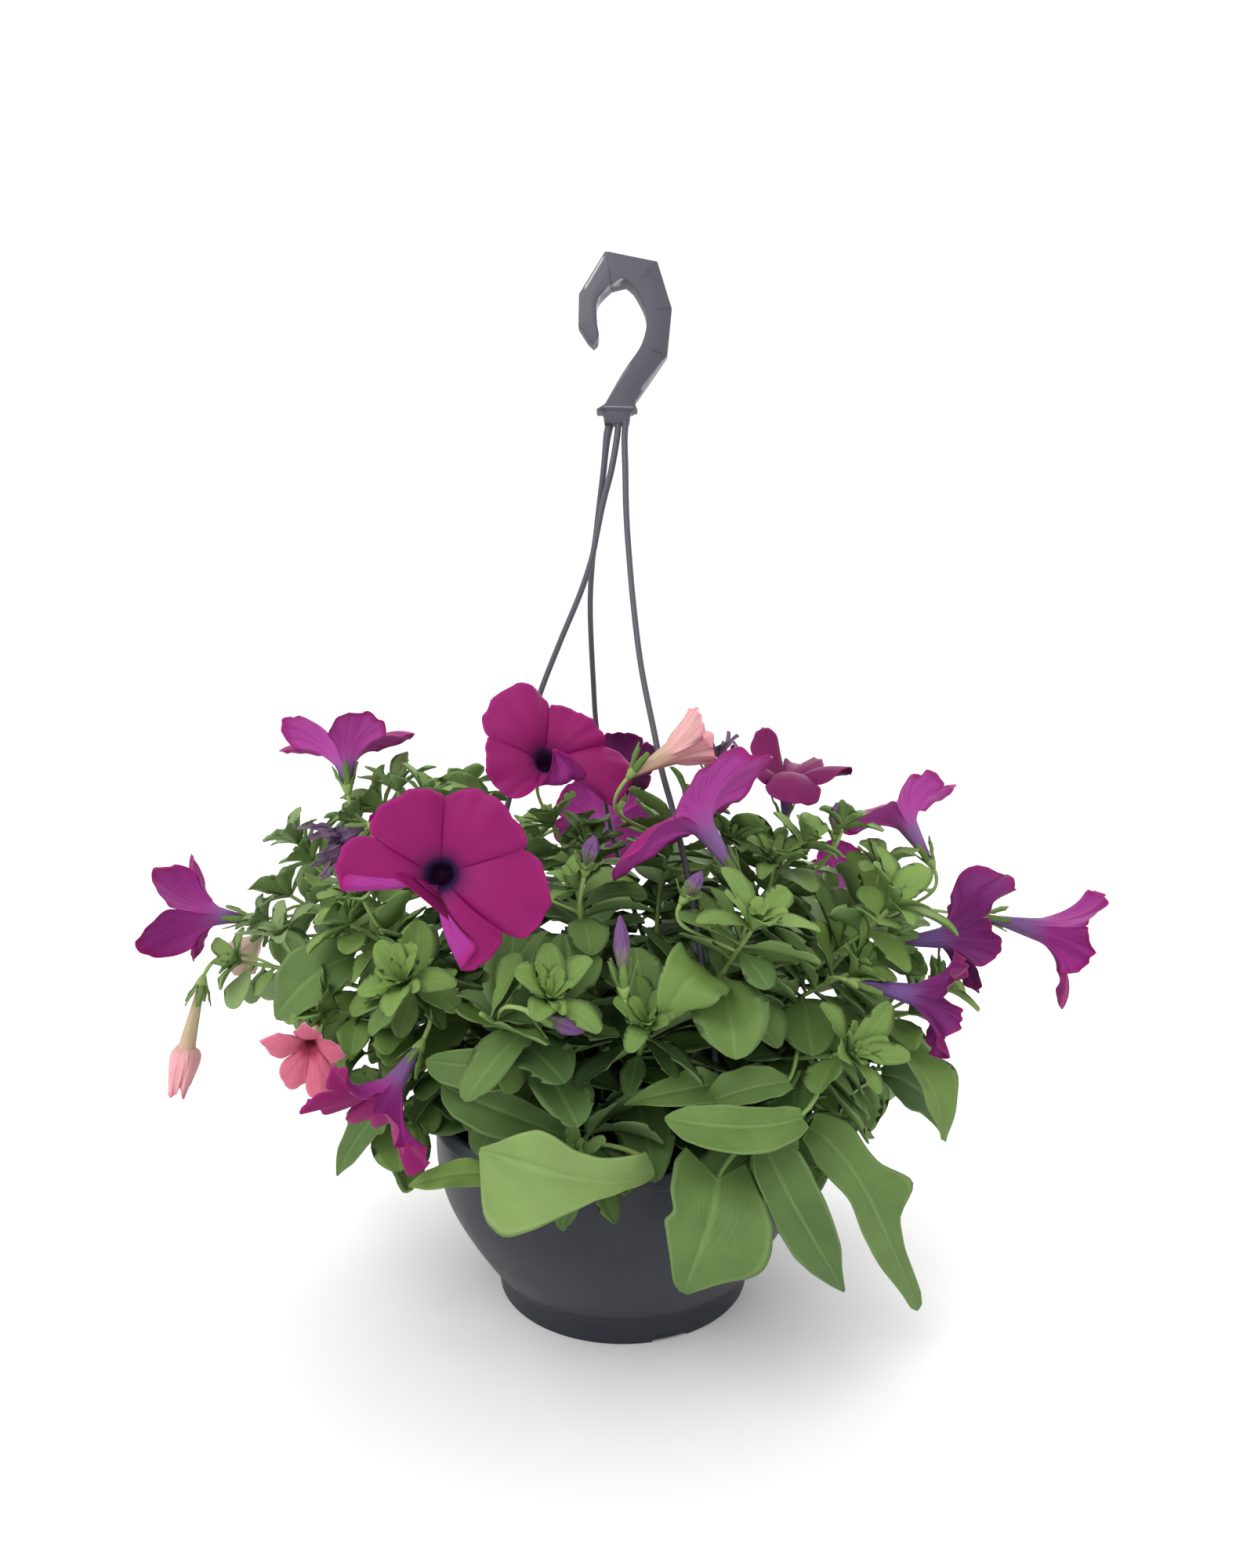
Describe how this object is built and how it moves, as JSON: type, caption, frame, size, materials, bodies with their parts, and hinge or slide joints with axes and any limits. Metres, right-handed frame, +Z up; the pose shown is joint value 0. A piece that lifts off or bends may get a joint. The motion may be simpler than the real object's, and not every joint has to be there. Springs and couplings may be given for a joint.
{
  "type": "petunia hanging basket",
  "caption": "Bowl-shaped hanging pot on a hooked hanger with long moulded straps, planted with a leafy trailing petunia in trumpet-shaped bloom.",
  "frame": {"origin": "centre of the pot's flat underside", "axes": "+Z up along the pot's axis to the hook, -Y towards the front of the plant, +X to its right"},
  "size_m": [0.5846, 0.4044, 0.6449],
  "materials": {
    "slate_plastic": "dark slate moulded plastic, satin",
    "grey_plastic": "mid grey moulded plastic, satin",
    "compost": "damp peat compost, crumbly and dull",
    "leaf_green": "soft hairy leaves, stems and sepals, matt green",
    "magenta_petal": "velvety crimson-magenta petals with a dark violet throat",
    "pink_petal": "faded pink and peach petals, papery",
    "purple_bud": "dull purple buds and withered flowers"
  },
  "bodies": {
    "root": {"pot": "slate_plastic", "hanger": "grey_plastic", "compost": "compost", "shoot_back": "leaf_green", "shoot_back_left": "leaf_green", "shoot_back_left_rim": "leaf_green", "shoot_back_middle": "leaf_green", "shoot_back_right": "leaf_green", "shoot_back_right_rim": "leaf_green", "shoot_back_rim": "leaf_green", "shoot_centre": "leaf_green", "shoot_centre_right": "leaf_green", "shoot_front_left": "leaf_green", "shoot_front_middle": "leaf_green", "shoot_front_right": "leaf_green", "shoot_front_rim_left": "leaf_green", "shoot_front_rim_right": "leaf_green", "shoot_front_tall": "leaf_green", "shoot_left_front": "leaf_green", "shoot_left_lower": "leaf_green", "shoot_left_outer": "leaf_green", "shoot_left_rim": "leaf_green", "shoot_left_top": "leaf_green", "shoot_left_trailing": "leaf_green", "shoot_left_upper": "leaf_green", "shoot_right_back_rim": "leaf_green", "shoot_right_front": "leaf_green", "shoot_right_middle": "leaf_green", "shoot_right_outer": "leaf_green", "shoot_right_rim": "leaf_green", "shoot_right_top": "leaf_green", "shoot_right_upper": "leaf_green", "bloom_back_right": "magenta_petal", "bloom_centre_right": "magenta_petal", "bloom_far_right": "magenta_petal", "bloom_front_left": "magenta_petal", "bloom_left": "magenta_petal", "bloom_lower_left": "magenta_petal", "bloom_lower_right": "magenta_petal", "bloom_rear": "magenta_petal", "bloom_rear_left": "magenta_petal", "bloom_rear_low": "magenta_petal", "bloom_rear_right": "magenta_petal", "bloom_right": "magenta_petal", "bloom_right_low": "magenta_petal", "bloom_top": "magenta_petal", "bloom_top_behind": "magenta_petal", "bloom_top_left": "magenta_petal", "faded_bloom_hanging": "pink_petal", "faded_bloom_pale": "pink_petal", "faded_bloom_peach": "pink_petal", "faded_bloom_star": "pink_petal", "bud_front_lying": "purple_bud", "bud_front_right": "purple_bud", "bud_front_tall": "purple_bud", "bud_front_upright": "purple_bud", "bud_rear": "purple_bud", "bud_right_top": "purple_bud", "withered_bloom_left": "purple_bud", "withered_bloom_top": "purple_bud"}
  },
  "joints": []
}
